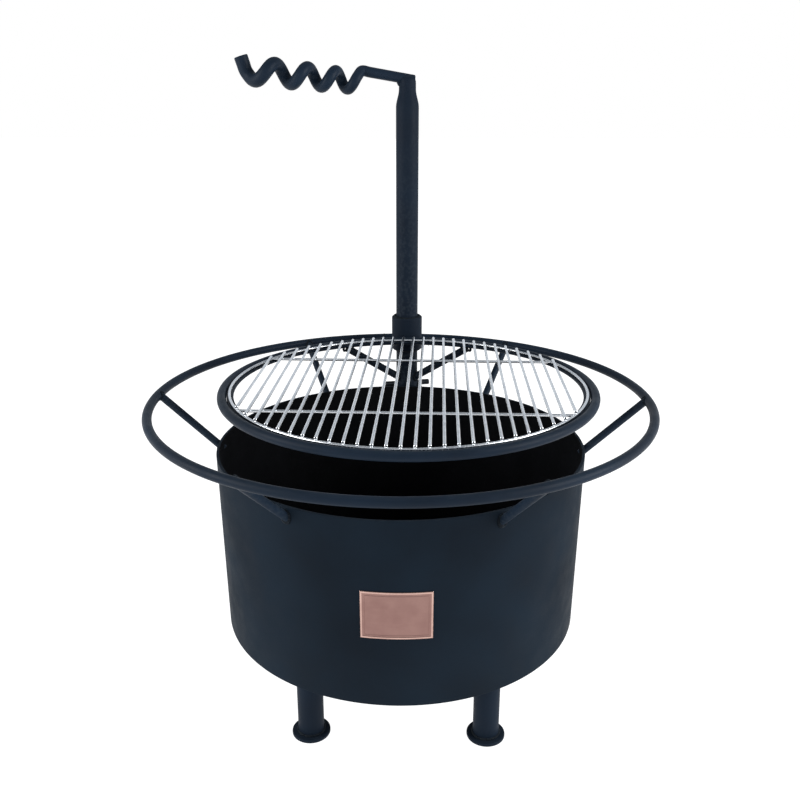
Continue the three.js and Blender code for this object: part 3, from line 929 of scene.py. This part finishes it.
# %% Sleeve the mast
collar_low, collar_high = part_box("mast_collar")
collar_radius = (collar_high.x - collar_low.x) / 2
outline = eased(
    tube_outline(mast_radius + 0.2 * MM, collar_radius, collar_low.z, collar_high.z), 2.6 * MM, 5)
finished("mast_sleeve", spun(outline, 72, mast), bar_enamel, "swing_mast",
         ["mast_collar"])
fillet = mast_radius + 4 * MM
sleeve_welds = bead(circle((*mast.xy, collar_high.z - 1 * MM), fillet, 60), 4.2 * MM, seed=6)
sleeve_welds = bead(
    circle((*mast.xy, collar_low.z + 1 * MM), fillet, 60), 4.2 * MM, sleeve_welds, seed=8)
finished("mast_sleeve_welds", sleeve_welds, weld_enamel_painted_shade, "swing_mast")

# %% [markdown]
# ## The grate's frame
#
# A tube hoop carries the wire grate on a narrow flat ring inside it. Sleeve and hoop meet
# behind the grate, and two bars brace the hoop from below, welded to mast and hoop.

# %% Bend the frame
FRAME_TUBE = 9.5 * MM
frame_low, frame_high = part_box("grate_frame_ring")
frame_reach = (frame_high.x - frame_low.x) / 2 - FRAME_TUBE
grate_frame = (grate_middle, frame_reach, FRAME_TUBE, "swing_mast")
bent_hoop("grate_hoop", *grate_frame, "grate_frame_ring")

seat_low, seat_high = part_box("grate_seat_ring")
seat_outer = (seat_high.x - seat_low.x) / 2
LEDGE_WIDTH = 14 * MM
outline = eased(
    tube_outline(seat_outer - LEDGE_WIDTH, seat_outer, seat_low.z, seat_high.z), 0.7 * MM)
seat_ring = spun(outline, 216, grate_middle)
finished("grate_ledge", seat_ring, hoop_enamel_painted_light, "swing_mast", ["grate_seat_ring"])

butt_weld("grate_hoop_butt_weld", *grate_frame, math.radians(84))

# %% Brace the frame
BRACE_RADIUS = 9 * MM
BRACE_SPREAD = 151 * MM
BRACE_LOW = rim - 1.5 * MM
BRACE_HIGH = rim + 110 * MM
hoop_reach_ahead = (grate_middle - mast).xy.length
brace_ahead = hoop_reach_ahead - math.sqrt(frame_reach ** 2 - BRACE_SPREAD ** 2)


def off_mast(place):
    return math.hypot(place.x - mast.x, place.y - mast.y) - mast_radius


def off_hoop(place):
    flat = math.hypot(place.x - grate_middle.x, place.y - grate_middle.y)
    return math.hypot(flat - frame_reach, place.z - grate_middle.z) - FRAME_TUBE


for place, side in (("left", -1), ("right", 1)):
    low = mast + Vector((0, 0, BRACE_LOW))
    high = mast + forward * brace_ahead + sideways * side * BRACE_SPREAD + Vector((0, 0, BRACE_HIGH))
    along = (high - low).normalized()
    points, radii = straight(low + along * 29 * MM, high - along * 5 * MM, BRACE_RADIUS, 0.3 * MM)
    brace = swept(points, radii)
    name = f"brace_bar_{place}"
    finished(name, brace, bar_enamel, "swing_mast", [f"brace_{place}"])
    welds = bead(joint_line(high, low, BRACE_RADIUS, off_mast), 3.4 * MM, seed=side)
    welds = bead(joint_line(low, high, BRACE_RADIUS, off_hoop), 2.8 * MM, welds, seed=side + 7)
    finished(f"brace_bar_{place}_welds", welds, weld_enamel_painted_shade, "swing_mast")

# %% [markdown]
# ## The coiled handle
#
# The bar is wound round a mandrel while hot, then pulled open, so that air gets round it and it
# stays cool to hold. The pitch grows and the bar thickens turn by turn. It is a path of points on
# a widening coil, smoothed, with a ring carried along it. A Screw modifier would give an even
# coil only, with one thickness.

# %% Lay out the handle's path
BAR_AT_MAST, BAR_AT_COIL, BAR_AT_END = 11.6 * MM, 12 * MM, 16 * MM
ARM_LENGTH, ARM_SLOPE, ARM_TAIL = 110.5 * MM, 0.162, 17 * MM
COIL_TURNS, COIL_START = 3.75, 0.12
COIL_PULL = 4 * MM  # how much further the last half turn is pulled open
END_LENGTH, END_ANGLE = 32 * MM, math.radians(67)  # the straight free end
COIL_DROP, COIL_RADIUS, COIL_SWELL = 25 * MM, 17.8 * MM, 1.04
COIL_SLOPE, COIL_PITCH, COIL_GROWTH = 0.096, 52.3 * MM, 1.149
POINTS_A_TURN = 12
HEADING = math.radians(82.7)
up = Vector((0, 0, 1))
out = forward * math.cos(HEADING) - sideways * math.sin(HEADING)
arm = (out + up * ARM_SLOPE).normalized()
coil = (out + up * COIL_SLOPE).normalized()
side_way = coil.cross(up).normalized()
coil_up = side_way.cross(coil)
NECK_TO_BAR = BAR_AT_COIL + NECK_RADIUS * ARM_SLOPE + GAP
bar_over_mast = mast + up * (mast_high.z + NECK_TO_BAR)
coil_axis = bar_over_mast + arm * ARM_LENGTH - coil_up * COIL_DROP
knots = [bar_over_mast + arm * ARM_LENGTH * share for share in (0, 0.4, 0.8, 0.97)]
knots.insert(0, bar_over_mast - arm * ARM_TAIL)
steps = round((COIL_TURNS - COIL_START) * POINTS_A_TURN)
for step in range(steps + 1):
    turn = COIL_START + (COIL_TURNS - COIL_START) * step / steps
    along = COIL_PITCH * (COIL_GROWTH ** turn - 1) / math.log(COIL_GROWTH)
    along += 2 * COIL_PULL * max(0, turn - COIL_TURNS + 0.5)
    radius = COIL_RADIUS * COIL_SWELL ** turn
    phase = 2 * math.pi * turn
    knots.append(coil_axis + coil * along + coil_up * radius * math.cos(phase)
                 - side_way * radius * math.sin(phase))
end_slant = coil * math.cos(END_ANGLE) + coil_up * math.sin(END_ANGLE)
knots += [knots[-1] + end_slant * END_LENGTH / 2, knots[-1] + end_slant * END_LENGTH]
print(len(knots), "points on the handle's path")


# %% Smooth the path and wind the handle
def smoothed(points, each):
    """A centripetal Catmull-Rom curve, the kind that never loops at uneven spacing."""
    padded = [2 * points[0] - points[1], *points, 2 * points[-1] - points[-2]]
    made = []
    for a, b, c, d in zip(padded, padded[1:], padded[2:], padded[3:]):
        t1 = (b - a).length ** 0.5
        t2 = t1 + (c - b).length ** 0.5
        t3 = t2 + (d - c).length ** 0.5
        for step in range(each):
            t = t1 + (t2 - t1) * step / each
            ab = a.lerp(b, t / t1)
            bc = b.lerp(c, (t - t1) / (t2 - t1))
            cd = c.lerp(d, (t - t2) / (t3 - t2))
            abc = ab.lerp(bc, t / t2)
            bcd = bc.lerp(cd, (t - t1) / (t3 - t1))
            made.append(abc.lerp(bcd, (t - t1) / (t2 - t1)))
    return made + [points[-1]]


line = smoothed(knots, 7)
gone = [0.0]
for one, two in zip(line, line[1:]):
    gone.append(gone[-1] + (two - one).length)
coil_from = (ARM_TAIL + ARM_LENGTH) / gone[-1]
handle_radii = []
for distance in gone:
    share = distance / gone[-1]
    if share < coil_from:
        radius = BAR_AT_MAST + (BAR_AT_COIL - BAR_AT_MAST) * share / coil_from
    else:
        radius = BAR_AT_COIL + (BAR_AT_END - BAR_AT_COIL) * (share - coil_from) / (1 - coil_from)
    handle_radii.append(radius)
EDGE = 1.5 * MM  # the chamfer at both ends
start_way = (line[1] - line[0]).normalized()
end_way = (line[-1] - line[-2]).normalized()
bar_line = [line[0], line[0] + start_way * EDGE] + line[1:-1]
bar_line += [line[-1] - end_way * EDGE, line[-1]]
bar_radii = [handle_radii[0] - EDGE, handle_radii[0]] + handle_radii[1:-1]
bar_radii += [handle_radii[-1], handle_radii[-1] - EDGE]
handle = swept(bar_line, bar_radii, sides=28)
finished("coiled_handle", handle, hoop_enamel_painted_light, "swing_mast", ["handle_bar"])

# %% [markdown]
# ## The weld at the mast's top
#
# Where the bar lies over the neck the joint is filled with weld and ground round, so that the neck
# seems to grow into the bar. It is a turned cap that rises round the bar, with a small fillet in
# the corner under the arm.

# %% Fill the joint between neck and bar
CAP = [  # distance from the mast's axis, height over the neck's top, both in millimetres
    (19.8, -5), (20, -1), (20, 5), (19.7, 10), (18.6, 15), (16.2, 19), (12, 22), (6, 23.6), (0, 24),
]
cap_outline = [(max(r * MM, centre_hole), mast_high.z + z * MM) for r, z in CAP]
cap_outline.append((centre_hole, mast_high.z - 5 * MM))
neck_cap = spun(cap_outline, 64, mast)
corner = mast + out * (NECK_RADIUS - 1 * MM) + up * (mast_high.z + 5.5 * MM)
slant = (out + up * 0.55).normalized()
swept([corner - slant * 6 * MM, corner, corner + slant * 6 * MM],
      [3 * MM, 6 * MM, 2 * MM], sides=24, shape=neck_cap)
finished("handle_weld", neck_cap, bar_enamel, "swing_mast")

# %% [markdown]
# ## The wire grate
#
# The grate is drawn wire: a ring, two cross wires, and 27 wires laid over them and spot welded
# at every crossing. A spot weld squeezes the wires a little into each other and leaves a small,
# smooth swelling. Each wire takes its ends from its CAD node, and each crossing gets a swelling.

# %% Draw the wires
WIRE = 3 * MM
wire_nodes = [name for name in frame["nodes"] if name.startswith("grate_rod_")]
cross_nodes = ["grate_cross_rod_front", "grate_cross_rod_back"]
ring_low, ring_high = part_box("grate_wire_ring")
wire_middle = (ring_low + ring_high) / 2
wire_reach = (ring_high.x - ring_low.x) / 2 - WIRE


def wire_ends(node):
    """The two ends of a straight wire: the means of its corners either side of its middle."""
    centre = middle(node)
    points = corners(node)
    far = max(points, key=lambda point: (point - centre).length)
    way = (far - centre).normalized()
    high = [point for point in points if (point - centre).dot(way) > 0]
    low = [point for point in points if (point - centre).dot(way) <= 0]
    return (sum(low, Vector()) / len(low), sum(high, Vector()) / len(high))


ring_of_wire = swept(circle(wire_middle, wire_reach, HOOP_STEPS), [WIRE] * HOOP_STEPS,
                     sides=16, closed=True)
finished("wire_rim", ring_of_wire, nickel, "wire_grate", ["grate_wire_ring"])
wires = {}
for node in cross_nodes + sorted(wire_nodes):
    ends = wire_ends(node)
    wires[node] = ends
    points, radii = straight(*ends, WIRE, 0.7 * MM)
    name = node.replace("grate_", "drawn_").replace("rod", "wire")
    finished(name, swept(points, radii, sides=16), nickel, "wire_grate", [node])


# %% Spot weld the crossings
def swelling(shape, place, way, length, width):
    """A small spindle of metal along way, which is what a spot weld leaves."""
    shares = [-1, -0.8, -0.45, 0, 0.45, 0.8, 1]
    points = [place + way * length * share for share in shares]
    radii = [max(0.2 * MM, width * math.sqrt(1 - share * share)) for share in shares]
    return swept(points, radii, sides=12, shape=shape)


spots = bmesh.new()
crossings = 0
between = Vector((0, 0, -WIRE))  # from a wire's axis down to where it lies on another
for node in wire_nodes:
    start, end = wires[node]
    way = (end - start).normalized()
    offset = (wire_middle - start).xy
    along = offset.dot(way.xy)
    nearest = start + way * along
    gap = (nearest.xy - wire_middle.xy).length
    reach = math.sqrt(max(0, wire_reach ** 2 - gap ** 2))
    places = [nearest + way * reach, nearest - way * reach]
    for cross in cross_nodes:
        a, b = wires[cross]
        flat = (b - a).normalized()
        share = (a - start).xy.cross(flat.xy) / way.xy.cross(flat.xy)
        spot = start + way * share
        if -WIRE < (spot - a).dot(flat) < (b - a).length + WIRE:
            places.append(spot)
    for place in places:
        swelling(spots, place + between, way, 4.2 * MM, 2.5 * MM)
        crossings += 1
finished("wire_spot_welds", spots, nickel, "wire_grate")
print(crossings, "crossings welded")

# %% Weld the cross wires into the rim
tips = bmesh.new()
for cross in cross_nodes:
    a, b = wires[cross]
    flat = (b - a).normalized()
    for tip, way in ((a, -flat), (b, flat)):
        swelling(tips, tip + way * 0.5 * MM, way, 4.5 * MM, 3.3 * MM)
finished("cross_wire_tip_welds", tips, nickel, "wire_grate")
